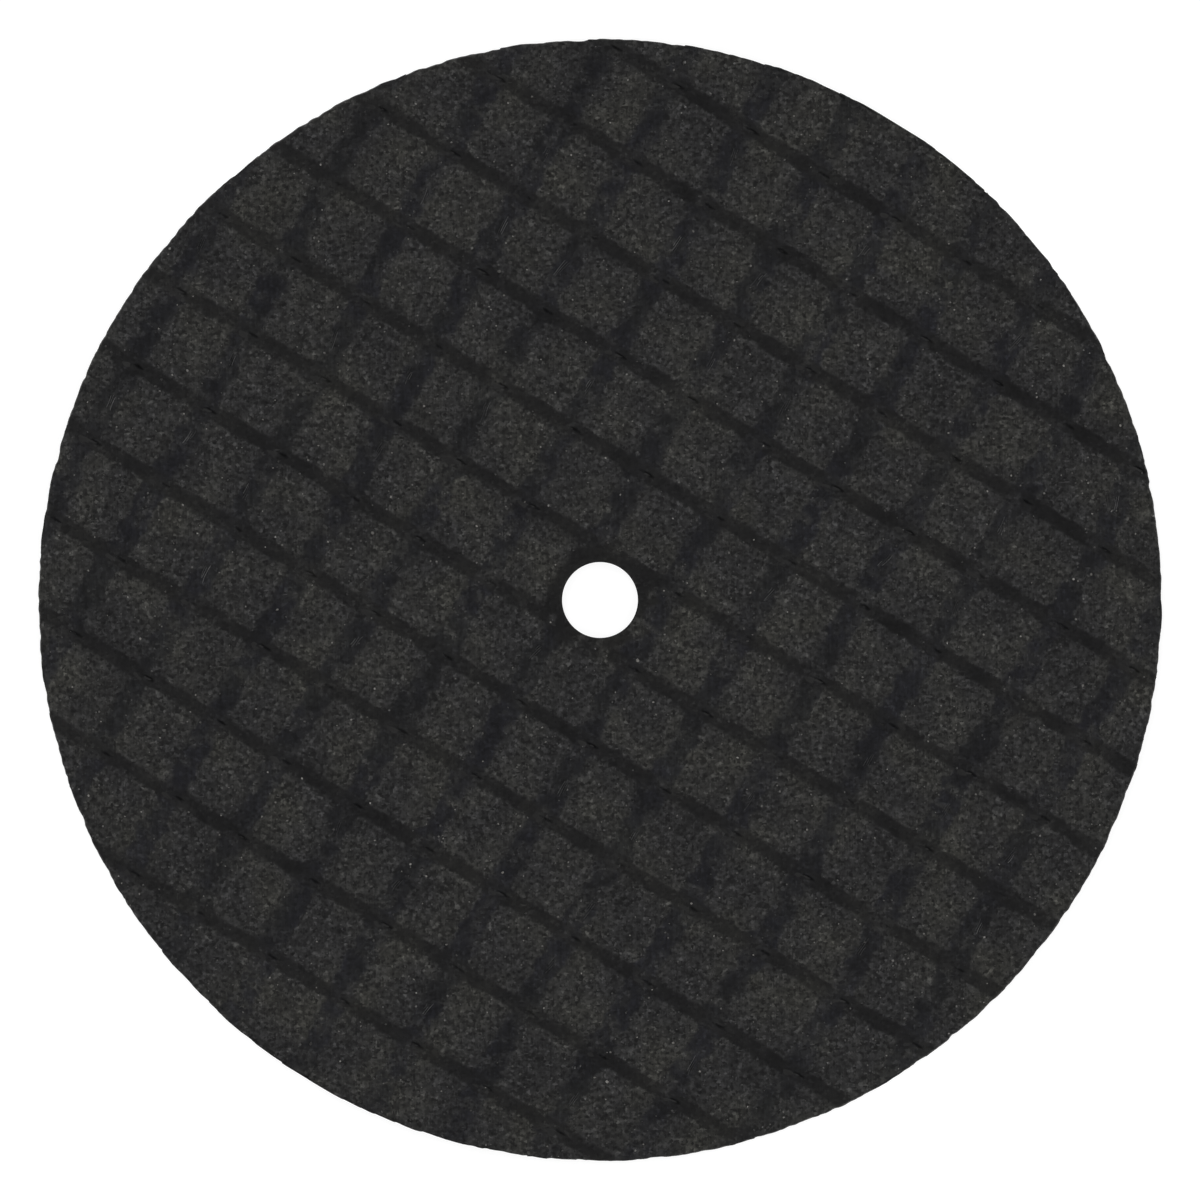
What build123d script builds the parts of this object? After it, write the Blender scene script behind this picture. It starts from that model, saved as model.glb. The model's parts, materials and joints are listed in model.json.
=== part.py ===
from build123d import *
import math
import os

# Diamond grinding wheel of the thin separating kind: a resin-bonded diamond disc moulded round an
# open glass-fibre scrim, with a plain bore for the screw of a mandrel.
# The wheel lies flat. The origin is its centre, on the bore's axis and half way through its
# thickness, and +Z is its front face.
# The scrim is a leno weave. Its flat weft yarns lie between the two ends of each warp pair, and the
# ends change sides, a half turn each time, between one weft yarn and the next.
# The bond stands in the scrim's windows as pads. They are joined behind the weft, which lies bare
# in front, and by bars that reach across the warp's channels between the two ends of a pair.

# Wheel, in millimetres
disc_diameter = 26.0
bore_diameter = 1.75
land_width = 0.28           # smooth ring round the bore, where the abrasive pads stop
land_drop = 0.03            # how far that ring lies below the pads
face_cover = 0.04           # height of the pads over the warp, on each face

# Warp pairs: straight strands, in line with +X before the scrim is turned
warp_pitch = 2.005
warp_shift = 0.05
warp_end_width = 0.18
warp_end_thickness = 0.06

# Weft yarns: flatter, wider and not quite straight
weft_pitch = 1.951
weft_shift = -0.44
weft_width = 0.46
weft_thickness = 0.10
weft_lean = 1.26            # degrees away from square with the warp
weft_sway = 0.05            # how far a yarn wanders to each side
weft_sway_length = 11.0     # length of one whole wander
weft_sway_lag = 0.1         # radians by which a yarn follows the next, for each mm between them
weft_slip = -0.19           # the yarns between the next two lines have slid sideways by this
weft_slip_start = -5.3
weft_slip_end = 8.3
back_groove_depth = 0.03    # hollow that a weft yarn leaves in the back face

# How the two sets meet
crossing_run = 0.05         # a warp end is level this far before it reaches a weft yarn
rim_margin = 0.5            # a strand that would run nearer than this to the rim isn't there
scrim_turn = -31.4          # degrees from +X to the warp

# What follows from them
disc_radius = disc_diameter / 2
bore_radius = bore_diameter / 2
land_radius = bore_radius + land_width
reach = disc_radius + warp_pitch + weft_pitch
pair_width = 2 * warp_end_width
end_side = warp_end_width / 2
end_level = (weft_thickness + warp_end_thickness) / 2
face_level = weft_thickness / 2 + warp_end_thickness + face_cover


def strand_places(pitch, shift):
    """Where the strands of one set cross the middle of the wheel, from one rim to the other."""
    limit = disc_radius - rim_margin
    first = math.ceil((-limit - shift) / pitch)
    last = math.floor((limit - shift) / pitch)
    return [shift + pitch * step for step in range(first, last + 1)]


def weft_x(place, y):
    """How far along the warp a weft yarn lies at y: a leaning line with a slow wave in it."""
    wave = 2 * math.pi * y / weft_sway_length + weft_sway_lag * place
    return place - y * math.tan(math.radians(weft_lean)) - weft_sway * math.sin(wave)


warp_places = strand_places(warp_pitch, warp_shift + warp_pitch / 2)
weft_places = [
    place + weft_slip if weft_slip_start < place < weft_slip_end else place
    for place in strand_places(weft_pitch, weft_shift)
]


def weft_outline(place):
    """A weft yarn from above: a band of one width, with a point at each warp pair."""
    half = weft_width / 2
    levels = [-reach, *warp_places, reach]
    left = [(weft_x(place, y) - half, y) for y in levels]
    right = [(weft_x(place, y) + half, y) for y in reversed(levels)]
    return make_face(Polyline(*left, *right, close=True))


def warp_stations(y):
    """Where a warp end that starts over the weft changes course: x, side of the pair and level.

    It crosses each weft yarn on one side of the pair, moves to the other side while it is still
    over, or under, and then goes straight down, or up, to meet the next weft yarn.
    """
    crossings = [weft_x(place, y) for place in weft_places]
    run = weft_width / 2 + crossing_run
    middles = [(a + b) / 2 for a, b in zip(crossings, crossings[1:])]
    middles.append(crossings[-1] + weft_pitch / 2)
    stations = []
    over = 1
    for crossing, middle in zip(crossings, middles):
        stations += [(crossing - run, -over, over), (middle, over, over)]
        over = -over
    start = min(-disc_radius, stations[0][0]) - warp_end_width
    finish = max(disc_radius, stations[-1][0]) + warp_end_width
    return [(start, *stations[0][1:]), *stations, (finish, *stations[-1][1:])]


def warp_end(y, over):
    """One end of a pair, drawn through its stations. Over is 1 or -1: the ends are opposites."""
    section = Rectangle(warp_end_width, warp_end_thickness)
    sections = [
        Plane((x, y + side * over * end_side, level * over * end_level), x_dir=(0, 1, 0), z_dir=(1, 0, 0))
        * section
        for x, side, level in warp_stations(y)
    ]
    return loft(sections, ruled=True)


def channel(y):
    """The open channel of a warp pair, without the bars of bond that lie between the two ends."""
    outline = Rectangle(2 * reach, 4 * face_level)
    stations = warp_stations(y)[1:-1]
    for (start, _, _), (middle, _, _) in zip(stations[::2], stations[1::2]):
        bar_start = start + crossing_run + weft_width / 2
        bar_end = middle - crossing_run
        outline -= Pos((bar_start + bar_end) / 2, 0) * Rectangle(bar_end - bar_start, weft_thickness)
    return Pos(0, y, 0) * extrude(Plane.XZ * outline, pair_width / 2, both=True)


def weft_hollow(place):
    """The groove that a weft yarn lies in, open to the front, and its mark in the back face."""
    outline = weft_outline(place)
    seat = Pos(0, 0, -weft_thickness / 2) * extrude(outline, weft_thickness + face_level)
    mark = Pos(0, 0, back_groove_depth - face_level) * extrude(outline, -face_level)
    return [seat, mark]


def bond(yarns):
    """The abrasive bond: pads between the strands, with the plain land round the bore."""
    pads = extrude(Circle(disc_radius) - Circle(land_radius), face_level, both=True)
    hollows = [channel(y) for y in warp_places]
    for place in weft_places:
        hollows += weft_hollow(place)
    land = extrude(Circle(land_radius) - Circle(bore_radius), face_level - land_drop, both=True)
    return (pads - hollows) + (land - yarns)


# Every yarn is trimmed to the rim and to the bore
blank = extrude(Circle(disc_radius) - Circle(bore_radius), face_level, both=True)
parts = {}
for number, place in enumerate(weft_places, start=1):
    parts[f"weft_yarn_{number:02d}"] = extrude(weft_outline(place), weft_thickness / 2, both=True) & blank
for number, y in enumerate(warp_places, start=1):
    parts[f"warp_yarn_{number:02d}_a"] = warp_end(y, 1) & blank
    parts[f"warp_yarn_{number:02d}_b"] = warp_end(y, -1) & blank
parts["bonded_abrasive"] = bond(list(parts.values()))

os.makedirs("parts", exist_ok=True)
for name, shape in parts.items():
    export_step(Rot(0, 0, scrim_turn) * shape, f"parts/{name}.step")
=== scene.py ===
import json

import bpy
import numpy as np
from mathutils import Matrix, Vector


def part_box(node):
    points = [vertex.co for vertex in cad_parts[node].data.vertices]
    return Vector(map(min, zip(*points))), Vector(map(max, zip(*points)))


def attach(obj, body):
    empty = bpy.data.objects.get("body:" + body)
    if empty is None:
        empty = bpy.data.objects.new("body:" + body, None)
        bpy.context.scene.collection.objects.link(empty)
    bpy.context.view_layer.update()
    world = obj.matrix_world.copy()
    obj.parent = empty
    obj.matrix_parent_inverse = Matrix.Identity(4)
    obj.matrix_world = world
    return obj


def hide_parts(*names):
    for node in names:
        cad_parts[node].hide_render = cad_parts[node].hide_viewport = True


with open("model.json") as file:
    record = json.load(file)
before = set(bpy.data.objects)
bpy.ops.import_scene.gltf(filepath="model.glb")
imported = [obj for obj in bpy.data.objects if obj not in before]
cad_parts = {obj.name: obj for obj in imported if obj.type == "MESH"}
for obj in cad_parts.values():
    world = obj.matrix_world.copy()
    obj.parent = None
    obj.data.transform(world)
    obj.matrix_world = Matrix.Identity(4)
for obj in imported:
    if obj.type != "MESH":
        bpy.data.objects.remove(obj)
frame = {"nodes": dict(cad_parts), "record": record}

# Diamond grinding wheel of the thin separating kind: a glass-fibre scrim moulded into resin bond
# that holds diamond grit. The script works in millimetres on the scrim's own axes, u along the warp
# and v across it, and each finished mesh is turned and scaled into the wheel's frame.

for name in ("Cube", "Light", "Camera"):
    if name in bpy.data.objects:
        bpy.data.objects.remove(bpy.data.objects[name])
bpy.context.view_layer.update()

# ---- The scrim's lay ----
# The scrim is an open leno cloth of glass yarn, straight warp pairs one way and wider weft yarns the
# other. The bond and the yarns all follow it, so where each strand lies is read from the solids.

MM = 1000.0
at_pair = 0.02   # a corner no farther than this from a warp pair's middle line belongs to it
bore = next(mount for mount in frame["record"]["mounts"] if mount["name"] == "bore")
bore_radius = bore["dims"]["r_mm"]
wheel_low, wheel_high = (np.array(corner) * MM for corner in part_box("bonded_abrasive"))
wheel_radius = (wheel_high[0] - wheel_low[0]) / 2
face_level = wheel_high[2]
warp_names = sorted({name[:-2] for name in frame["nodes"] if name.startswith("warp_yarn")})
weft_names = sorted(name for name in frame["nodes"] if name.startswith("weft_yarn"))
warp_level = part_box(warp_names[0] + "_a")[1].z * MM
weft_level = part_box(weft_names[0])[1].z * MM


def corners(node):
    """Every corner of a solid, as rows of x, y and z in millimetres."""
    mesh = frame["nodes"][node].data
    values = np.empty(len(mesh.vertices) * 3)
    mesh.vertices.foreach_get("co", values)
    return values.reshape(-1, 3) * MM


# The two ends of a pair mirror each other, so together their corners lie evenly about one line
pairs = [np.vstack([corners(name + "_a"), corners(name + "_b")])[:, :2] for name in warp_names]
spread = np.vstack([pair - pair.mean(axis=0) for pair in pairs])
warp_line = np.linalg.svd(spread, full_matrices=False)[2][0]
warp_line = warp_line * np.sign(warp_line[0])
scrim_axes = np.array([warp_line, [-warp_line[1], warp_line[0]]])
across = [pair @ scrim_axes[1] for pair in pairs]
warp_sides = np.array([[v.min(), v.max()] for v in across])
warp_places = warp_sides.mean(axis=1)
pair_half = (warp_sides[:, 1] - warp_sides[:, 0]).mean() / 2

lay_steps = np.linspace(-wheel_radius, wheel_radius, 1041)   # every 0.025 mm across the wheel
lay_bend = 41                                                # steps over which a corner is eased


def smooth_along(values, steps):
    """A moving average over an odd number of steps, with the ends held."""
    padded = np.pad(values, steps // 2, mode="edge")
    return np.convolve(padded, np.ones(steps) / steps, mode="valid")


def weft_lay(node):
    """Half a weft yarn's width, and its middle line as u at each of lay_steps.

    The yarn has a corner on each side at every warp pair. The line runs between those, and past the
    last of them it keeps its course to the rim.
    """
    u, v = scrim_axes @ corners(node)[:, :2].T
    rows = [(place, u[np.abs(v - place) < at_pair]) for place in warp_places]
    rows = [(place, row) for place, row in rows if len(row)]
    places = [place for place, _ in rows]
    sides = np.array([[row.min(), row.max()] for _, row in rows])
    middle = sides.mean(axis=1)
    first = (middle[1] - middle[0]) / (places[1] - places[0])
    last = (middle[-1] - middle[-2]) / (places[-1] - places[-2])
    line = np.interp(lay_steps, places, middle)
    line += first * np.minimum(lay_steps - places[0], 0)
    line += last * np.maximum(lay_steps - places[-1], 0)
    return (sides[:, 1] - sides[:, 0]).mean() / 2, smooth_along(line, lay_bend)


weft_lays = [weft_lay(name) for name in weft_names]
weft_half = float(np.mean([half for half, _ in weft_lays]))
weft_lines = np.array([line for _, line in weft_lays])

# ---- Abrasive bond ----
# Resin with diamond grit, pressed through the scrim and cured. It stands as gritty pads in the
# scrim's windows and lies as a smooth dark skin over the yarns and round the bore.
# It is one moulding, made here in bands that meet on the middle of each warp pair.

land_radius = bore_radius + 0.28
land_level = face_level - 0.03
land_relief = 0.018
land_wander = 0.36                # how much farther out the land's edge is in places
warp_margin = pair_half - 0.008   # where a pad begins beside a warp pair's middle line
weft_margin = weft_half + 0.050   # and beside a weft yarn's
warp_wander = 0.055               # how far that edge wanders beside a warp pair
weft_wander = 0.17                # and beside a weft yarn
pad_corner = 0.15                 # radius of a pad's corners
pad_shoulder = 0.065              # run of the slope at a pad's edge
grit_depth = 0.034                # how far the resin lies below the tops of the grit
channel_level = 0.113             # resin over a warp pair, between crossings
channel_streaks, channel_relief = 0.006, 0.018
crossing_dip = 0.008              # how much lower it is round the end that crosses over a weft yarn
crossing_reach = 0.27             # how far from the weft yarn's middle line it is lower
groove_depth = 0.006              # hollow beside that end, and between it and the other end
groove_offset, groove_width = 0.17, 0.035
pit_depth = 0.046                 # hollow where that end dives beside the weft
pit_along, pit_length = 0.20, 0.13      # its middle and its size along the warp
pit_aside, pit_width = 0.006, 0.046     # and across it
film_level = 0.058                # resin over a weft yarn
film_rise = 0.028                 # and how much it climbs towards the pads
film_streaks, film_relief = 0.012, 0.034
back_mark = 0.030                 # hollow over a weft yarn in the back face
rim_round, rim_drop = 0.045, 0.022      # run and drop of the slope at the rim
bore_round, bore_drop = 0.030, 0.015    # and at the bore
wall_layers = 6                   # points from face to face in a band's walls
wall_rounding = 0.030             # how far the rim's edges are drawn in
wall_dents = 0.012                # and how deep the dents are between them
dent_size, dent_shift = 0.06, 40  # the shift only picks another part of the random pattern
least_grit, stray_grit = 0.13, 0.62     # share of grit on the skin, and more where it has strayed
rim_grit, rim_grit_reach = 0.25, 1.2    # more of it near the rim
sharp_angle = 75                  # degrees between two faces, past which their edge looks sharp


def blotches(u, v, size, seed):
    """Smooth random values from 0 to 1: a lattice of random numbers, eased between its corners."""
    table = np.random.default_rng(seed).random((257, 257))
    x, y = u / size, v / size
    i, j = np.floor(x).astype(int), np.floor(y).astype(int)
    x, y = x - i, y - j
    x, y = x * x * (3 - 2 * x), y * y * (3 - 2 * y)
    i, j = i % 256, j % 256
    low = table[i, j] * (1 - x) + table[i + 1, j] * x
    high = table[i, j + 1] * (1 - x) + table[i + 1, j + 1] * x
    return low * (1 - y) + high * y


def ease(value, start, end):
    """0 below start and 1 above end, with a smooth step between them."""
    share = np.clip((value - start) / (end - start), 0, 1)
    return share * share * (3 - 2 * share)


def hump(value, middle, width):
    """1 at the middle, falling to either side as a bell curve."""
    return np.exp(-(((value - middle) / width) ** 2))


def nearest(offsets, axis):
    """Of the offsets along an axis, the one nearest to nought, with its sign."""
    place = np.expand_dims(np.abs(offsets).argmin(axis), axis)
    return np.take_along_axis(offsets, place, axis).squeeze(axis)


def weft_middles(v):
    """Where the weft yarns' middle lines are at v: one row for each yarn."""
    return np.array([np.interp(v, lay_steps, line) for line in weft_lines])


def rim_at(angle):
    """The rim's radius, never over full size: a little out of round, lumpy, rough and chipped."""
    inset, out_of_round, lumps, rough, chips = 0.002, 0.030, 0.034, 0.034, 0.024
    x, y = wheel_radius * np.cos(angle), wheel_radius * np.sin(angle)
    return (
        wheel_radius - inset
        - out_of_round * (0.5 - 0.5 * np.cos(2 * angle - 1.67))
        - lumps * blotches(x, y, 0.6, 71) ** 2
        - rough * blotches(x, y, 0.15, 72) ** 2
        - chips * ease(blotches(x, y, 0.36, 73), 0.80, 1.0)
    )


def rim_along_u(v, side):
    """How far the rough rim is from the middle at v, going along u to the side of 1 or -1."""
    flat = np.sqrt(np.maximum(wheel_radius**2 - v**2, 0))
    return np.sqrt(np.maximum(rim_at(np.arctan2(v, side * flat)) ** 2 - v**2, 0))


def bond_face(u, v, side):
    """The height of one face of the bond, how gritty it is, with painted shade in the pits, and where
    it's a thin film over weft.

    A window's edge is a ragged rectangle with rounded corners between the strands. Inside it the
    pad stands at face level, less its grit, and outside it the resin sinks to the skin over the
    yarns. The skin dips round the end that crosses over each weft yarn, with a pit where the end
    dives, and more so at some crossings than at others. On the back the pads run on over the weft.
    """
    front = side > 0
    seed = 100 if front else 200
    radius = np.hypot(u, v)
    beside_warp = side * nearest(v[..., None] - warp_places, -1)
    beside_weft = nearest(u - weft_middles(v), 0)
    from_warp, from_weft = np.abs(beside_warp), np.abs(beside_weft)

    # The pads: how far a point is inside their edge, and the grains that stand out of their tops
    ragged = blotches(u, v, 0.28, seed + 1) - 0.5 + 0.7 * (blotches(u, v, 0.10, seed + 2) - 0.5)
    a = from_warp - warp_margin + warp_wander * ragged
    b = from_weft - weft_margin + weft_wander * ragged
    corner = pad_corner - np.hypot(np.maximum(pad_corner - a, 0), np.maximum(pad_corner - b, 0))
    inside = np.minimum(np.minimum(a, b), corner) if front else a
    pad = ease(inside, -0.02, pad_shoulder)
    grains = 0.50 * blotches(u, v, 0.074, seed + 3) + 0.35 * blotches(u, v, 0.118, seed + 4)
    grains = ease(grains + 0.15 * blotches(u, v, 0.5, seed + 5), 0.22, 0.78)
    top = face_level - grit_depth * (1 - grains)
    if not front:
        top -= back_mark * (1 - ease(b, -0.10, 0.06))

    # The skin over a warp pair: nearly level, but for the dip and the pit at each crossing
    in_pair = 1 - ease(from_warp, warp_margin - 0.02, warp_margin + 0.06)
    crossing = np.exp(-((beside_weft / crossing_reach) ** 4))
    grooves = hump(from_warp, groove_offset, groove_width) + hump(beside_warp, 0, 0.03)
    dip = crossing_dip * (0.3 + 1.4 * blotches(u, v, 1.6, seed + 11)) + groove_depth * grooves
    pit = hump(beside_weft, pit_along, pit_length) * hump(beside_warp, pit_aside, pit_width)
    pit *= 0.25 + 1.25 * blotches(u, v, 1.3, seed + 12)
    channel = channel_level - crossing * dip - pit_depth * pit
    channel += channel_streaks * (blotches(u / 7, v, 0.055, seed + 6) - 0.5)
    channel += channel_relief * (blotches(u, v, 0.09, seed + 9) - 0.5)

    # The film over a weft yarn, which is rougher where stray grit lies in it
    stray = ease(blotches(u, v, 0.24, seed + 10), 0.35, 0.9)
    film = film_level + film_rise * ease(from_weft + 0.1 * ragged, 0.08, weft_half + 0.04)
    film += film_streaks * (blotches(u, v / 6, 0.06, seed + 7) - 0.5)
    film += film_relief * (0.5 + 0.5 * stray) * (grains - 0.5)
    skin = film + (channel - film) * in_pair if front else channel
    height = skin + (top - skin) * pad

    # The land round the bore, and the rounded edges of the rim and of the bore
    land_edge = land_radius + land_wander * (blotches(u, v, 0.34, seed + 8) - 0.22)
    on_land = 1 - ease(radius, land_edge - 0.06, land_edge + 0.06)
    height += (np.maximum(land_level, skin) - land_relief * (1 - grains) - height) * on_land
    height -= rim_drop * (1 - ease(rim_at(np.arctan2(v, u)) - radius, 0, rim_round)) ** 2
    height -= bore_drop * (1 - ease(radius - bore_radius, 0, bore_round)) ** 2

    # Grit lies thick on the pads, thinly on the skin and the land, and a little thicker at the rim
    near_rim = ease(radius, wheel_radius - rim_grit_reach, wheel_radius)
    skin_grit_and_pit_shade = least_grit + stray_grit * stray + rim_grit * near_rim
    # Less grit in the pit where an end dives leaves the skin there darker: painted shade in that hollow
    skin_grit_and_pit_shade *= (1 - in_pair * (0.72 - 0.38 * crossing)) * (1 - np.minimum(pit, 0.9))
    if not front:
        skin_grit_and_pit_shade *= crossing * in_pair
    land_grit = 1.2 * stray**2.5 + 0.15 * (1 - ease(radius - bore_radius, 0.02, 0.16))
    grit = ease(inside, -0.04, 0.03)
    grit += (1 - grit) * skin_grit_and_pit_shade
    grit = (grit + (np.minimum(land_grit, 1) - grit) * on_land) * (0.55 + 0.45 * grains)
    thin = (1 - pad) * (1 - in_pair * (1 - 0.4 * crossing)) * (1 - on_land) * front
    return side * height, grit, thin


def lattice_faces(columns, rows, layers):
    """The outside faces of a box of columns, rows and layers of points, all facing out."""
    ids = np.arange(columns * rows * layers).reshape(columns, rows, layers)

    def sheet(grid, flip):
        quads = np.stack([grid[:-1, :-1], grid[1:, :-1], grid[1:, 1:], grid[:-1, 1:]], axis=-1)
        quads = quads.reshape(-1, 4)
        return quads[:, ::-1] if flip else quads

    return np.vstack([
        sheet(ids[:, :, -1], False), sheet(ids[:, :, 0], True),
        sheet(ids[:, 0, :], False), sheet(ids[:, -1, :], True),
        sheet(ids[-1, :, :], False), sheet(ids[0, :, :], True),
    ])


def into_wheel(points):
    """Turns and scales points from the scrim's axes in millimetres into the wheel's frame in metres."""
    turned = points.reshape(-1, 3).copy()
    turned[:, :2] = turned[:, :2] @ scrim_axes
    return turned / MM


def make_piece(name, points, faces, nodes, material, values=None):
    """One finished piece from points and equal-sided faces, with values kept as point attributes."""
    mesh = bpy.data.meshes.new(name)
    sides = faces.shape[1]
    mesh.vertices.add(len(points))
    mesh.vertices.foreach_set("co", points.astype(np.float32).ravel())
    mesh.loops.add(faces.size)
    mesh.loops.foreach_set("vertex_index", faces.astype(np.int32).ravel())
    mesh.polygons.add(len(faces))
    mesh.polygons.foreach_set("loop_start", np.arange(0, faces.size, sides, dtype=np.int32))
    mesh.polygons.foreach_set("use_smooth", np.ones(len(faces), dtype=bool))
    mesh.update(calc_edges=True)
    mesh.validate()
    for key, value in (values or {}).items():
        attribute = mesh.attributes.new(key, "FLOAT", "POINT")
        attribute.data.foreach_set("value", value.astype(np.float32).ravel())
    mesh.materials.append(material)
    piece = bpy.data.objects.new(name, mesh)
    bpy.context.scene.collection.objects.link(piece)
    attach(piece, "root")
    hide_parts(*nodes)
    return piece


def bond_band(name, rows, left, right, step, material):
    """A closed band of bond: u runs from left to right at each row's v, and z from face to face.

    Between the faces its walls are straight, but for a dented and rounded surface on the rim.
    """
    columns = int(np.ceil((right - left).max() / step)) + 1
    u = left + (right - left) * np.linspace(0, 1, columns)[:, None]
    v = np.broadcast_to(rows, u.shape)
    depth = np.linspace(0, 1, wall_layers)
    z, grit, thin = (
        back[..., None] + (front - back)[..., None] * depth
        for back, front in zip(bond_face(u, v, -1), bond_face(u, v, 1))
    )
    u, v = (np.repeat(value[..., None], wall_layers, axis=2) for value in (u, v))
    radius = np.hypot(u, v)
    on_rim = radius > wheel_radius - 0.2
    for end in (0, -1):
        around = np.arctan2(v[end], u[end]) * wheel_radius
        dents = wall_dents * blotches(z[end] + dent_shift, around, dent_size, 91 + end)
        pull = dents * 4 * depth * (1 - depth) + wall_rounding * (2 * depth - 1) ** 4
        pull = np.where(on_rim[end], pull, 0) / radius[end]
        u[end], v[end] = u[end] * (1 - pull), v[end] * (1 - pull)
        # Rim walls take full grit, as a cut face shows it; the same row on the face's edge makes a thin
        # light line there, which is painted edge glare
        grit[end] = np.where(on_rim[end], 1.0, 0.0)
    points = into_wheel(np.stack([u, v, z], axis=-1))

    # Only the outer points are in a face, so the others are dropped
    faces = lattice_faces(columns, len(rows), wall_layers)
    used, faces = np.unique(faces, return_inverse=True)
    values = {"grit": grit.ravel()[used], "thin": thin.ravel()[used]}
    faces = faces.reshape(-1, 4)
    piece = make_piece(name, points[used], faces, ["bonded_abrasive"], material, values)
    piece.data.set_sharp_from_angle(angle=np.radians(sharp_angle))


def shader(name, colour, roughness, specular):
    """A new material with its plain values on the shader's own sockets, and that shader."""
    material = bpy.data.materials.new(name)
    material.use_nodes = True
    surface = material.node_tree.nodes["Principled BSDF"]
    surface.inputs["Base Color"].default_value = (*colour, 1)
    surface.inputs["Roughness"].default_value = roughness
    surface.inputs["Specular IOR Level"].default_value = specular
    return material, surface


def link_node(material, kind, values=None, **settings):
    """A new node with its settings and its sockets' values: a value is a number, colour or output."""
    node = material.node_tree.nodes.new(kind)
    for key, value in settings.items():
        setattr(node, key, value)
    for key, value in (values or {}).items():
        if isinstance(value, bpy.types.NodeSocket):
            material.node_tree.links.new(value, node.inputs[key])
        else:
            node.inputs[key].default_value = value
    return node


def wheel_place(material):
    """Where a point is in the wheel's frame, in metres, so a scale of 10000 has cells of 0.1 mm."""
    return link_node(material, "ShaderNodeTexCoord").outputs["Object"]


def scrim_place(material, shares):
    """The same on the scrim's axes, times a share along each: one under 1 draws a pattern out."""
    turn = (0, 0, -np.arctan2(scrim_axes[0, 1], scrim_axes[0, 0]))
    values = {"Vector": wheel_place(material), "Rotation": turn, "Scale": shares}
    return link_node(material, "ShaderNodeMapping", values).outputs[0]


def carried(material, name):
    """The value that a piece's points carry under a name."""
    return link_node(material, "ShaderNodeAttribute", attribute_name=name).outputs["Fac"]


def noise(material, place, scale, detail):
    """The grey and coloured outputs of a noise texture."""
    values = {"Vector": place, "Scale": scale, "Detail": detail}
    return link_node(material, "ShaderNodeTexNoise", values).outputs


def ramp(material, source, *stops):
    """A colour ramp from an output through (place, grey) stops, of which the two ends come first."""
    node = link_node(material, "ShaderNodeValToRGB", {"Fac": source})
    elements = node.color_ramp.elements
    for number, (place, grey) in enumerate(stops):
        element = elements[number] if number < 2 else elements.new(place)
        element.position = place
        element.color = (grey, grey, grey, 1)
    return node.outputs["Color"]


def split(material, colour):
    """The three channels of a colour output."""
    return link_node(material, "ShaderNodeSeparateColor", {"Color": colour}).outputs


def combine(material, operation, first, second):
    """The sum, product or other result of two values, each a number or an output."""
    return link_node(material, "ShaderNodeMath", {0: first, 1: second}, operation=operation).outputs[0]


def mix_colour(material, share, first, second, blend="MIX"):
    """Two colours mixed by a share. The node's colours are its sockets 6 and 7, and its result 2."""
    first, second = ((*value, 1) if isinstance(value, tuple) else value for value in (first, second))
    values = {0: share, 6: first, 7: second}
    return link_node(material, "ShaderNodeMix", values, data_type="RGBA", blend_type=blend).outputs[2]


def multiply(material, colour, *factors, share=1.0):
    """A colour multiplied, in full or by a share, by each factor: a colour or an output."""
    for factor in factors:
        colour = mix_colour(material, share, colour, factor, "MULTIPLY")
    return colour


def roughen(material, surface, height, distance):
    """Lets a height output shape the shader's normal, as a bump of this distance in metres."""
    values = {"Height": height, "Strength": 0.5, "Distance": distance}
    bump = link_node(material, "ShaderNodeBump", values)
    material.node_tree.links.new(bump.outputs["Normal"], surface.inputs["Normal"])


pad_colour = (0.0256, 0.0256, 0.0253)
skin_colour = (0.0075, 0.0075, 0.0076)
film_colour = (0.0074, 0.0077, 0.0091)
cool_tint, warm_tint = (0.990, 0.986, 1.014), (1.050, 1.036, 0.930)
cool_film, warm_film = (0.950, 0.955, 1.100), (1.025, 1.040, 0.960)
bond_finish, bond_surface = shader("cured resin and grit", pad_colour, 0.6, 0.14)
bond_place = wheel_place(bond_finish)
grit_and_painted_light = carried(bond_finish, "grit")
film_share = carried(bond_finish, "thin")
patches = noise(bond_finish, bond_place, 700.0, 3.0)
hues = split(bond_finish, patches["Color"])

# Pads: a grey for each cell of grit, changing from clump to clump and from patch to patch
voronoi = {"Vector": bond_place, "Scale": 16500.0}
cells = link_node(bond_finish, "ShaderNodeTexVoronoi", voronoi, distance="MANHATTAN").outputs
cell_tone = split(bond_finish, cells["Color"])[0]
cell_stops = [(0.0, 0.27), (1.0, 2.15), (0.30, 0.70), (0.62, 0.97), (0.88, 1.25)]
cell_grey = ramp(bond_finish, cell_tone, *cell_stops)
clumps = noise(bond_finish, bond_place, 10000.0, 1.0)
clump_grey = ramp(bond_finish, clumps["Fac"], (0.32, 0.63), (0.68, 1.40))
patch_grey = ramp(bond_finish, patches["Fac"], (0.3, 0.80), (0.7, 1.20))
pad_tone = multiply(bond_finish, pad_colour, cell_grey, clump_grey, patch_grey)

# Film over the weft: cooler, and streaked along the yarn's filaments
film_warmth = ramp(bond_finish, hues[1], (0.42, 0.0), (0.62, 1.0))
film_tone = mix_colour(bond_finish, film_warmth, cool_film, warm_film)
streaks = noise(bond_finish, scrim_place(bond_finish, (1.0, 0.12, 1.0)), 13000.0, 2.0)
streak_grey = ramp(bond_finish, streaks["Fac"], (0.3, 0.60), (0.7, 1.40))
film_tone = multiply(bond_finish, film_tone, film_colour, streak_grey)

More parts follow.
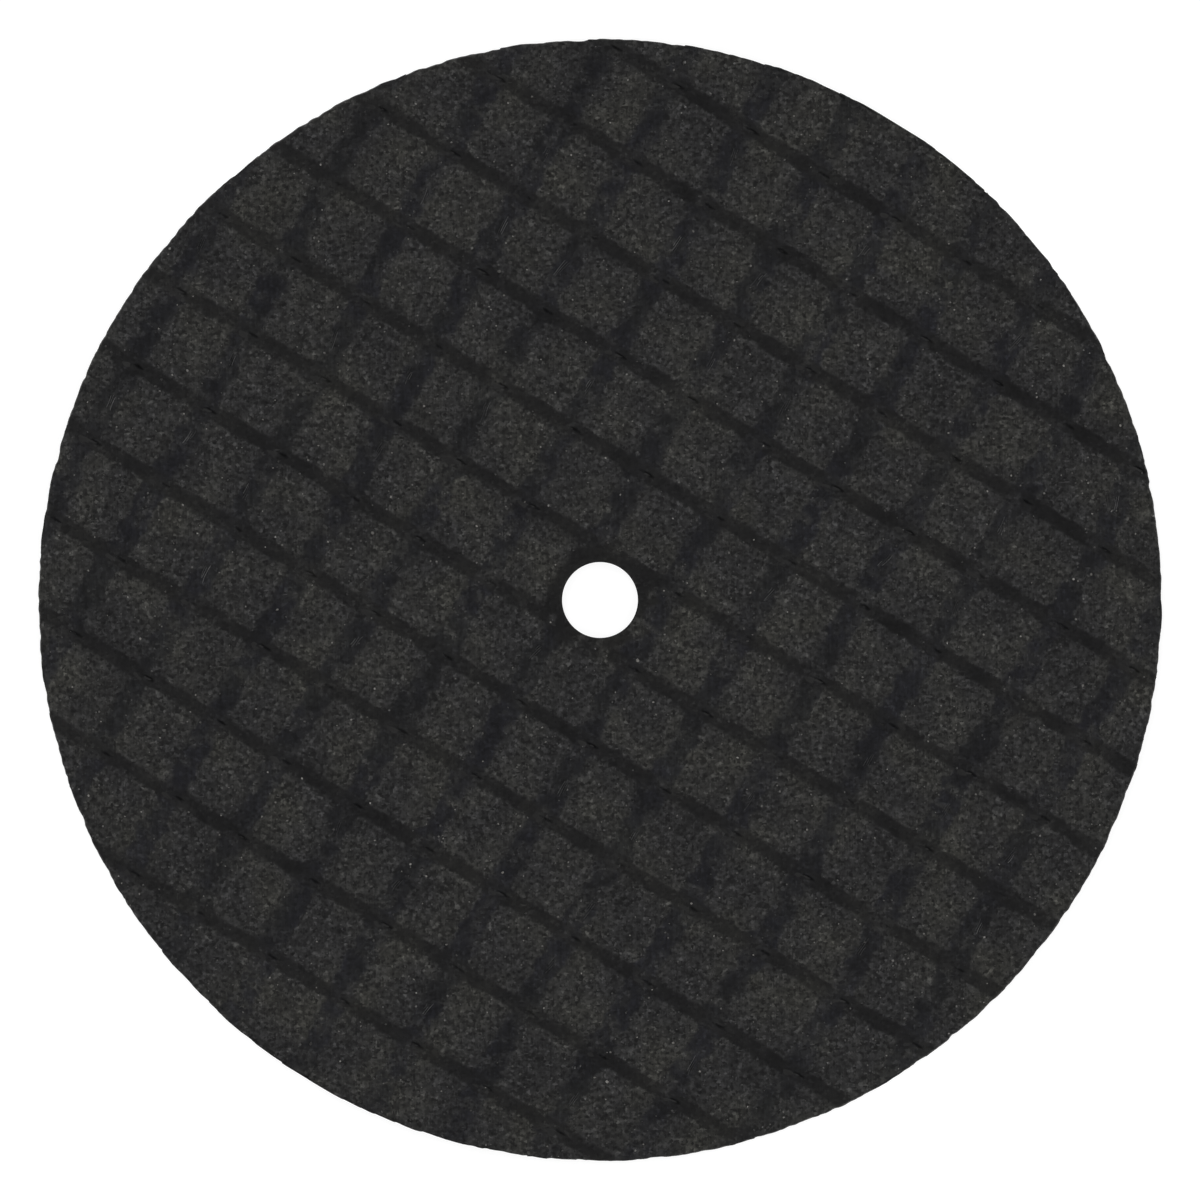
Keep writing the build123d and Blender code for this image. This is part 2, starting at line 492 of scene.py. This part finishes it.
# Skin elsewhere, and all of them laid over each other by how gritty and how thin the resin is
skin_grey = ramp(bond_finish, patches["Fac"], (0.3, 0.50), (0.7, 1.50))
skin_tone = mix_colour(bond_finish, film_share, skin_colour, film_tone)
skin_tone = multiply(bond_finish, skin_tone, skin_grey)
skin_tone = multiply(bond_finish, skin_tone, cell_grey, share=0.6)
warmth = ramp(bond_finish, hues[0], (0.40, 0.0), (0.68, 1.0))
tint = mix_colour(bond_finish, warmth, cool_tint, warm_tint)
# The grit share also carries painted shade in the pits and a painted light line along the rim's edge
bond_tone = multiply(bond_finish, mix_colour(bond_finish, grit_and_painted_light, skin_tone, pad_tone), tint)
bond_finish.node_tree.links.new(bond_tone, bond_surface.inputs["Base Color"])
fine = noise(bond_finish, bond_place, 26000.0, 2.0)
relief = combine(bond_finish, "SUBTRACT", fine["Fac"], cells["Distance"])
relief = combine(bond_finish, "MULTIPLY", relief, grit_and_painted_light)
roughen(bond_finish, bond_surface, relief, 0.000012)

grid_step = 0.05
seam_rows = np.array([0.0, 0.07, 0.13, 0.165, 0.20, 0.24])   # beside a warp pair's middle line
seam_end = 0.28                                              # where the even rows begin
bore_rows = 58
over_bore = 0.08                                             # from the last row to the one before
cap_steps = 76
cap_half_top = 0.35
borders = [-wheel_radius, *warp_places, wheel_radius]


def band_rows(low, high):
    """Rows across a band: closer along the pads' shoulders, next to a warp pair at either border."""
    steps = int((high - low - 2 * seam_end) / grid_step) + 2
    inner = np.linspace(low + seam_end, high - seam_end, steps)
    return np.concatenate([low + seam_rows, inner, (high - seam_rows)[::-1]])


def bore_band_rows(low, high):
    """Rows across the band with the bore in it, even along the bore, with one more in the wider gap."""
    turn = np.radians(np.linspace(-90, 90, bore_rows))
    return np.concatenate([[low], bore_radius * np.sin(turn), [high - over_bore, high]])


def cap_rows(border, end):
    """Rows of a cap: from a warp pair to the top of the rim, in even steps along the rim.

    They stop where the rough rim leaves less than cap_half_top on either side of the middle.
    """
    side = np.sign(end)
    climb = side * np.radians(np.linspace(80, 90, 400))
    heights = wheel_radius * np.sin(climb)
    width = np.minimum(rim_along_u(heights, -1), rim_along_u(heights, 1))
    first = np.arcsin((border + side * seam_end) / wheel_radius)
    last = climb[width > cap_half_top][-1]
    rest = wheel_radius * np.sin(np.linspace(first, last, cap_steps))
    rows = np.concatenate([border + side * seam_rows, rest])
    return rows if side > 0 else rows[::-1]


for number, (low, high) in enumerate(zip(borders, borders[1:]), start=1):
    name = f"bond_band_{number:02d}"
    if low < 0 < high:
        rows = bore_band_rows(low, high)
        gap = np.sqrt(np.maximum(bore_radius**2 - rows**2, 0))
        bond_band(name + "_left", rows, -rim_along_u(rows, -1), -gap, grid_step, bond_finish)
        bond_band(name + "_right", rows, gap, rim_along_u(rows, 1), grid_step, bond_finish)
        continue
    if low <= -wheel_radius:
        rows = cap_rows(high, low)
    elif high >= wheel_radius:
        rows = cap_rows(low, high)
    else:
        rows = band_rows(low, high)
    # The longest row sets a band's columns, and the others of an outer band are much shorter
    step = grid_step * (1.3 if abs(low + high) / 2 > 10 else 1)
    bond_band(name, rows, -rim_along_u(rows, -1), rim_along_u(rows, 1), step, bond_finish)

# ---- Warp ends ----
# Each warp strand is a pair of thin glass yarns, soaked in resin. They turn about each other and
# hold a weft yarn between them at every crossing.

end_half_width = pair_half / 2
end_half_depth = (warp_level - weft_level) / 2
end_side = pair_half / 2
end_centre = (warp_level + weft_level) / 2
crossing_run = 0.05     # an end is level this far before it reaches a weft yarn
turn_start = 0.20       # and starts to change sides this far past the yarn's middle line
past_last = 0.98        # from the last weft yarn to where the ends have changed sides
bore_clearance = 0.002
yarn_step = 0.06        # from one section of a strand to the next
yarn_bend = 5           # sections over which a strand's turns are eased
trim_run = 1.0          # length over which a strand's sections turn to suit the cut at its end
warp_colour = (0.0134, 0.0133, 0.0132)


def section(around, fullness):
    """Across and up shares of a rounded section: a superellipse through around points."""
    angle = np.linspace(0, 2 * np.pi, around, endpoint=False)
    cosine, sine = np.cos(angle), np.sin(angle)
    return np.sign(cosine) * np.abs(cosine) ** fullness, np.sign(sine) * np.abs(sine) ** fullness


def strand(grid):
    """Points and faces of a closed strand from a grid of sections.

    Each end is closed by strips from the upper to the lower half of its section, so that a cut to
    the rim or the bore keeps its curve.
    """
    steps, around, _ = grid.shape
    ring = np.arange(around)
    turn = (ring + 1) % around
    row = np.arange(steps - 1)[:, None] * around
    first = np.stack([row + ring, row + turn, row + around + turn], axis=-1)
    second = np.stack([row + ring, row + around + turn, row + around + ring], axis=-1)
    k = np.arange(around // 2)
    strips = np.vstack([
        np.stack([k, k + 1, around - 1 - k], axis=-1)[:-1],
        np.stack([k, around - 1 - k, around - k], axis=-1)[1:],
    ])
    last = (steps - 1) * around
    faces = np.vstack([first.reshape(-1, 3), second.reshape(-1, 3), strips[:, ::-1], strips + last])
    return grid.reshape(-1, 3), faces


def trimmed(along, low, high, low_middle, high_middle):
    """Carries a strand's sections to the cut at each end, over the last trim_run before it.

    Low and high are the cut's places at each point of the section, and the middles those at the
    strand's own line.
    """
    near_low = np.clip(1 - (along - low_middle) / trim_run, 0, 1)
    near_high = np.clip(1 - (high_middle - along) / trim_run, 0, 1)
    return along + (low - low_middle) * near_low + (high - high_middle) * near_high


def bore_wall(u):
    """How far from the middle a yarn stops at u, going along v: just short of the bore."""
    return np.sqrt(np.maximum((bore_radius + bore_clearance) ** 2 - u**2, 0))


def warp_grid(place, over):
    """The sections of a warp end that starts over the weft, or under it where over is -1.

    It crosses each weft yarn on one side of the pair, dives beside the yarn, and moves to the other
    side on its way to the next one, which it crosses on the other face.
    """
    crossings = weft_middles(np.array([place]))[:, 0]
    starts = crossings - weft_half - crossing_run
    middles = np.append((crossings[:-1] + crossings[1:]) / 2, crossings[-1] + past_last)
    course = over * (-1.0) ** np.arange(len(crossings))
    side_places = np.ravel(np.column_stack([starts, crossings + turn_start, middles]))
    sides = np.ravel(np.column_stack([-course, -course, course]))
    # A level is a share of end_centre. It drops soon after the crossing, so the end dives there.
    level_places = [starts, crossings, crossings + 0.10, crossings + 0.25, middles]
    level_places = np.ravel(np.column_stack(level_places))
    levels = np.ravel(np.array([0.90, 1.02, 0.90, 0.42, 0.50]) * course[:, None])
    low, high = -rim_along_u(np.array(place), -1), rim_along_u(np.array(place), 1)
    along = np.linspace(low, high, int((high - low) / yarn_step))[:, None]
    wide, deep = section(around=16, fullness=1.3)
    side = smooth_along(np.interp(along[:, 0], side_places, sides), yarn_bend)[:, None]
    v = place + end_side * side + end_half_width * wide
    level = smooth_along(np.interp(along[:, 0], level_places, levels), yarn_bend)[:, None]
    z = end_centre * level + end_half_depth * deep
    u = trimmed(along, -rim_along_u(v, -1), rim_along_u(v, 1), low, high)
    v = np.where(np.abs(v) < bore_wall(u), np.sign(place) * bore_wall(u), v)
    return np.stack([u, v, z], axis=-1)


def soaked_yarn(name, colour, shares):
    """Resin-soaked glass yarn: mottled, with fine streaks along the strand on the scrim's axes."""
    finish, surface = shader(name, colour, 0.5, 0.16)
    mottle = noise(finish, wheel_place(finish), 1800.0, 4.0)
    tone = multiply(finish, colour, ramp(finish, mottle["Fac"], (0.3, 0.72), (0.7, 1.28)))
    finish.node_tree.links.new(tone, surface.inputs["Base Color"])
    fibres = noise(finish, scrim_place(finish, shares), 30000.0, 2.0)
    roughen(finish, surface, fibres["Fac"], 0.000008)
    return finish


warp_finish = soaked_yarn("resin-soaked warp yarn", warp_colour, (0.08, 1.0, 1.0))

for pair_name, pair_place in zip(warp_names, warp_places):
    for letter, over in (("a", 1), ("b", -1)):
        node = f"{pair_name}_{letter}"
        points, faces = strand(warp_grid(pair_place, over))
        make_piece(f"{node}_soaked", into_wheel(points), faces, [node], warp_finish)

# ---- Weft yarns ----
# Flat untwisted glass yarns, held between the two ends of each warp pair in the middle of the
# wheel. A thin film of resin covers them, and here and there some of their filaments lie bare on it.

flute_spread = 0.23     # half the width over which a yarn's flutes are laid out
flute_depth = 0.10      # as a share of its thickness
tufts_per_yarn = 4
tuft_radius = 0.008     # of a bundle of a few dozen filaments
tuft_spacing = 0.045
tuft_clearance = 0.5    # no tuft is nearer than this to the rim or to the bore
weft_colour = (0.0120, 0.0122, 0.0130)
sunk_colour, bare_colour = (0.0130, 0.0131, 0.0138), (0.070, 0.070, 0.071)


def rim_along_v(u, side):
    """How far the rough rim is from the middle at u, going along v to the side of 1 or -1."""
    flat = np.sqrt(np.maximum(wheel_radius**2 - u**2, 0))
    return np.sqrt(np.maximum(rim_at(np.arctan2(side * flat, u)) ** 2 - u**2, 0))


def rim_cut(side):
    """The v of the rim as a function of u, on the side of 1 or -1."""
    return lambda u: side * rim_along_v(u, side)


def bore_cut(side):
    """The v of the bore's wall as a function of u, on the side of 1 or -1."""
    return lambda u: side * bore_wall(u)


def meeting(line, cut):
    """The v where a yarn's middle line meets a cut, found by going back and forth between them."""
    v = 0.0
    for _ in range(4):
        v = cut(np.interp(v, lay_steps, line))
    return v


def weft_grid(line, low_cut, high_cut):
    """The sections of a length of weft yarn between two cuts.

    They are a little narrower in places than the yarn, and fluted by its filaments.
    """
    low, high = meeting(line, low_cut), meeting(line, high_cut)
    along = np.linspace(low, high, int((high - low) / yarn_step))[:, None]
    wide, deep = section(around=32, fullness=0.7)
    path = np.interp(along[:, 0], lay_steps, line)[:, None]
    half = weft_half * (0.98 - 0.05 * blotches(path, along, 0.7, 301))
    flutes = 1 - flute_depth * blotches(path - wide * flute_spread, along / 12, 0.045, 302)
    u = path - half * wide
    z = weft_level * deep * flutes
    v = trimmed(along, low_cut(u), high_cut(u), low, high)
    return np.stack([u, v, z], axis=-1)


def joined(strands):
    """Several strands' points and faces as one strand's."""
    starts = np.cumsum([0] + [len(points) for points, _ in strands[:-1]])
    faces = np.vstack([faces + start for (_, faces), start in zip(strands, starts)])
    return np.vstack([points for points, _ in strands]), faces


weft_finish = soaked_yarn("resin-soaked weft yarn", weft_colour, (1.0, 0.08, 1.0))

for name, line in zip(weft_names, weft_lines):
    cuts = [(rim_cut(-1), rim_cut(1))]
    if np.hypot(line, lay_steps).min() < bore_radius:
        cuts = [(rim_cut(-1), bore_cut(-1)), (bore_cut(1), rim_cut(1))]
    points, faces = joined([strand(weft_grid(line, *ends)) for ends in cuts])
    make_piece(f"{name}_soaked", into_wheel(points), faces, [name], weft_finish)


def bare_filaments(line, rng):
    """Tufts of three bundles of filaments on the resin over one weft yarn.

    Each bundle runs along v for its length, leaning and bowing in u. It lies on the resin between
    its ends, which sink into it.
    """
    wide, deep = section(around=6, fullness=1.0)
    share = np.linspace(-1, 1, 9)[:, None]
    bundles = []
    for window in rng.choice(len(warp_places) - 1, tufts_per_yarn, replace=False):
        middle = warp_places[window : window + 2].mean() + rng.uniform(-0.3, 0.3)
        aside, lean = rng.uniform(-0.13, 0.13), rng.uniform(-0.25, 0.25)
        radius = np.hypot(np.interp(middle, lay_steps, line), middle)
        if not bore_radius + tuft_clearance <= radius <= wheel_radius - tuft_clearance:
            continue
        for step in (-1, 0, 1):
            along = rng.uniform(-0.09, 0.09) + rng.uniform(0.07, 0.24) * share
            bow = rng.uniform(-0.02, 0.02) * share**2
            lean += rng.uniform(-0.06, 0.06)
            v = middle + along
            path = np.interp(v, lay_steps, line) + aside + tuft_spacing * step + lean * along + bow
            level = bond_face(path, v, 1)[0] + tuft_radius * (0.8 - 1.7 * share**4)
            u = path - tuft_radius * wide
            z = np.minimum(level + tuft_radius * deep, face_level - 0.001)
            bundles.append(strand(np.stack([u, v + 0 * wide, z], axis=-1)))
    return bundles


bare_finish, bare_surface = shader("bare glass filaments", bare_colour, 0.45, 0.3)
bare_shade = carried(bare_finish, "shade")
bare_tone = mix_colour(bare_finish, bare_shade, sunk_colour, bare_colour)
bare_mottle = noise(bare_finish, wheel_place(bare_finish), 9000.0, 2.0)
bare_grey = ramp(bare_finish, bare_mottle["Fac"], (0.3, 0.55), (0.7, 1.45))
bare_tone = multiply(bare_finish, bare_tone, bare_grey)
bare_finish.node_tree.links.new(bare_tone, bare_surface.inputs["Base Color"])

rng = np.random.default_rng(611)
bundles = [bundle for line in weft_lines for bundle in bare_filaments(line, rng)]
shade = np.concatenate([np.full(len(points), rng.random() ** 3.0) for points, _ in bundles])
points, faces = joined(bundles)
make_piece("weft_bare_filaments", into_wheel(points), faces, weft_names, bare_finish,
           {"shade": shade})

# ---- Diamond grit ----
# Crushed diamond, 0.03 to 0.12 mm across and mostly under 0.08, sunk by half or more in the pads.
# The facets that face a light are the bright specks of the wheel.

grains_per_mm2 = 9.0
grain_sizes = (0.040, 0.080)
large_share, large_growth = 0.07, 0.5
corner_pull = (0.72, 1.0)     # share of a corner's distance that is left
squeeze_range = (0.7, 1.15)
deepest = 0.5                 # share of a grain's size by which its middle is sunk, at most
rim_gap, bore_gap, face_gap = 0.03, 0.06, 0.0005
dull_grain, bright_grain = (0.024, 0.0236, 0.0228), (0.18, 0.174, 0.162)
grain_finish, grain_surface = shader("diamond grit", dull_grain, 0.28, 0.5)
grain_shade = carried(grain_finish, "shade")
grain_tone = mix_colour(grain_finish, grain_shade, dull_grain, bright_grain)
grain_finish.node_tree.links.new(grain_tone, grain_surface.inputs["Base Color"])


def icosahedron():
    """The twelve corners of a twenty-sided ball of radius 1, and its faces, all facing out.

    The corners are those of three golden rectangles, and three that are all near each other make
    a face.
    """
    golden = (1 + 5**0.5) / 2
    base = np.array([[0, a, b * golden] for a in (-1, 1) for b in (-1, 1)], dtype=float)
    ball = np.vstack([base, base[:, [1, 2, 0]], base[:, [2, 0, 1]]]) / np.hypot(1, golden)
    apart = np.linalg.norm(ball[:, None] - ball[None], axis=2)
    near = (apart < 1.1) & (apart > 0)
    trios = np.stack(np.nonzero(near[:, :, None] & near[None] & near[:, None]), axis=1)
    faces = trios[(trios[:, 0] < trios[:, 1]) & (trios[:, 1] < trios[:, 2])]
    a, b, c = ball[faces].swapaxes(0, 1)
    facing = np.sum(np.cross(b - a, c - a) * (a + b + c), axis=1)
    faces[facing < 0] = faces[facing < 0][:, ::-1]
    return ball, faces


grain_ball, grain_faces = icosahedron()


def scatter_grains(name, side, seed):
    """Grains over one face of the pads, each turned, jagged, squeezed and sized at random."""
    rng = np.random.default_rng(seed)
    number = int(grains_per_mm2 * (2 * wheel_radius) ** 2)
    u, v = rng.uniform(-wheel_radius, wheel_radius, (2, number))
    radius = np.hypot(u, v)
    level, grit, _ = bond_face(u, v, side)
    keep = (radius < rim_at(np.arctan2(v, u)) - rim_gap) & (radius > bore_radius + bore_gap)
    keep &= rng.random(number) < 0.03 + 0.97 * grit
    u, v, level = u[keep], v[keep], level[keep]
    number = len(u)
    size = 0.5 * rng.uniform(*grain_sizes, number)
    size *= 1 + large_growth * (rng.random(number) > 1 - large_share)
    turn = np.linalg.qr(rng.normal(size=(number, 3, 3)))[0]
    turn[np.linalg.det(turn) < 0] *= -1
    jag = rng.uniform(*corner_pull, (number, len(grain_ball), 1))
    squeeze = rng.uniform(*squeeze_range, (number, 1, 3))
    shapes = np.einsum("nij,nkj->nki", turn, grain_ball * jag * squeeze) * size[:, None, None]
    inward = np.minimum(1, (wheel_radius - 0.004 - size) / np.hypot(u, v))
    z = level - side * size * rng.uniform(0, deepest, number)
    points = shapes + np.stack([u * inward, v * inward, z], axis=-1)[:, None, :]
    # A grain that would stand out of the wheel's face is let in to just below it
    proud = np.max(side * points[..., 2], axis=1) - (face_level - face_gap)
    points[..., 2] -= side * np.maximum(proud, 0)[:, None]
    faces = (grain_faces[None] + np.arange(number)[:, None, None] * len(grain_ball)).reshape(-1, 3)
    shade = np.repeat(rng.random(number) ** 5.0, len(grain_ball))
    piece = make_piece(name, into_wheel(points), faces, ["bonded_abrasive"],
                       grain_finish, {"shade": shade})
    piece.data.polygons.foreach_set("use_smooth", np.zeros(len(faces), dtype=bool))


scatter_grains("diamond_grit_front", 1, 501)
scatter_grains("diamond_grit_back", -1, 502)

# ---- Stage, light and camera ----
# A white floor and a studio sky that is white at the horizon and dimmer overhead. Four soft lamps
# stand round the wheel, and the camera looks straight down on the front face.

reach, floor_level = 0.6, wheel_low[2] / MM
floor_sides = ((-reach, -reach), (reach, -reach), (reach, reach), (-reach, reach))
floor_corners = [(x, y, floor_level) for x, y in floor_sides]
floor_mesh = bpy.data.meshes.new("floor")
floor_mesh.from_pydata(floor_corners, [], [(0, 1, 2, 3)])
floor = bpy.data.objects.new("floor", floor_mesh)
bpy.context.scene.collection.objects.link(floor)

# What the camera sees of the floor is white, and the floor that lights the wheel is grey
floor_finish, floor_surface = shader("white floor", (0.25, 0.25, 0.25), 0.9, 0.0)
rays = link_node(floor_finish, "ShaderNodeLightPath").outputs
seen = combine(floor_finish, "MAXIMUM", rays["Is Camera Ray"], rays["Is Glossy Ray"])
seen = combine(floor_finish, "MAXIMUM", seen, rays["Is Transmission Ray"])
glow = combine(floor_finish, "MULTIPLY", seen, 0.84)
floor_surface.inputs["Emission Color"].default_value = (1, 1, 1, 1)
floor_finish.node_tree.links.new(glow, floor_surface.inputs["Emission Strength"])
floor_mesh.materials.append(floor_finish)

world = bpy.data.worlds.new("studio")
bpy.context.scene.world = world
world.use_nodes = True
nodes, links = world.node_tree.nodes, world.node_tree.links
sky = nodes["Background"]
sky.inputs["Color"].default_value = (1, 1, 1, 1)
where = nodes.new("ShaderNodeTexCoord")
parts = nodes.new("ShaderNodeSeparateXYZ")
fade = nodes.new("ShaderNodeMapRange")
for key, value in (("From Min", 0.12), ("From Max", 0.45), ("To Min", 1.0), ("To Max", 0.25)):
    fade.inputs[key].default_value = value
links.new(where.outputs["Generated"], parts.inputs[0])
links.new(parts.outputs["Z"], fade.inputs["Value"])
links.new(fade.outputs[0], sky.inputs["Strength"])

lamp_distance, lamp_size = 0.7, 0.32


def lamp(name, azimuth, elevation, watts):
    """A square soft lamp that faces the wheel's centre."""
    light = bpy.data.lights.new(name, "AREA")
    light.shape, light.size, light.energy = "SQUARE", lamp_size, watts
    item = bpy.data.objects.new(name, light)
    a, e = np.radians(azimuth), np.radians(elevation)
    item.location = lamp_distance * np.array([np.cos(a) * np.cos(e), np.sin(a) * np.cos(e), np.sin(e)])
    item.rotation_euler = (np.pi / 2 - e, 0, a + np.pi / 2)
    bpy.context.scene.collection.objects.link(item)


lamp("key", 120, 42, 1.6)
lamp("fill", -60, 40, 1.45)
lamp("left", 205, 40, 1.3)
lamp("right", 28, 40, 1.3)

camera_distance = 0.35
sensor_width = 36.0
view_margin = 1.0662   # the picture's width as a share of the wheel's
view_width = 2 * wheel_radius * view_margin / MM
camera_data = bpy.data.cameras.new("camera")
camera_data.sensor_width = sensor_width
camera_data.lens = sensor_width * camera_distance / view_width
camera = bpy.data.objects.new("camera", camera_data)
camera.location = (0, 0, camera_distance)
bpy.context.scene.collection.objects.link(camera)
bpy.context.scene.camera = camera
bpy.context.scene.view_settings.view_transform = "Standard"

bpy.context.view_layer.update()
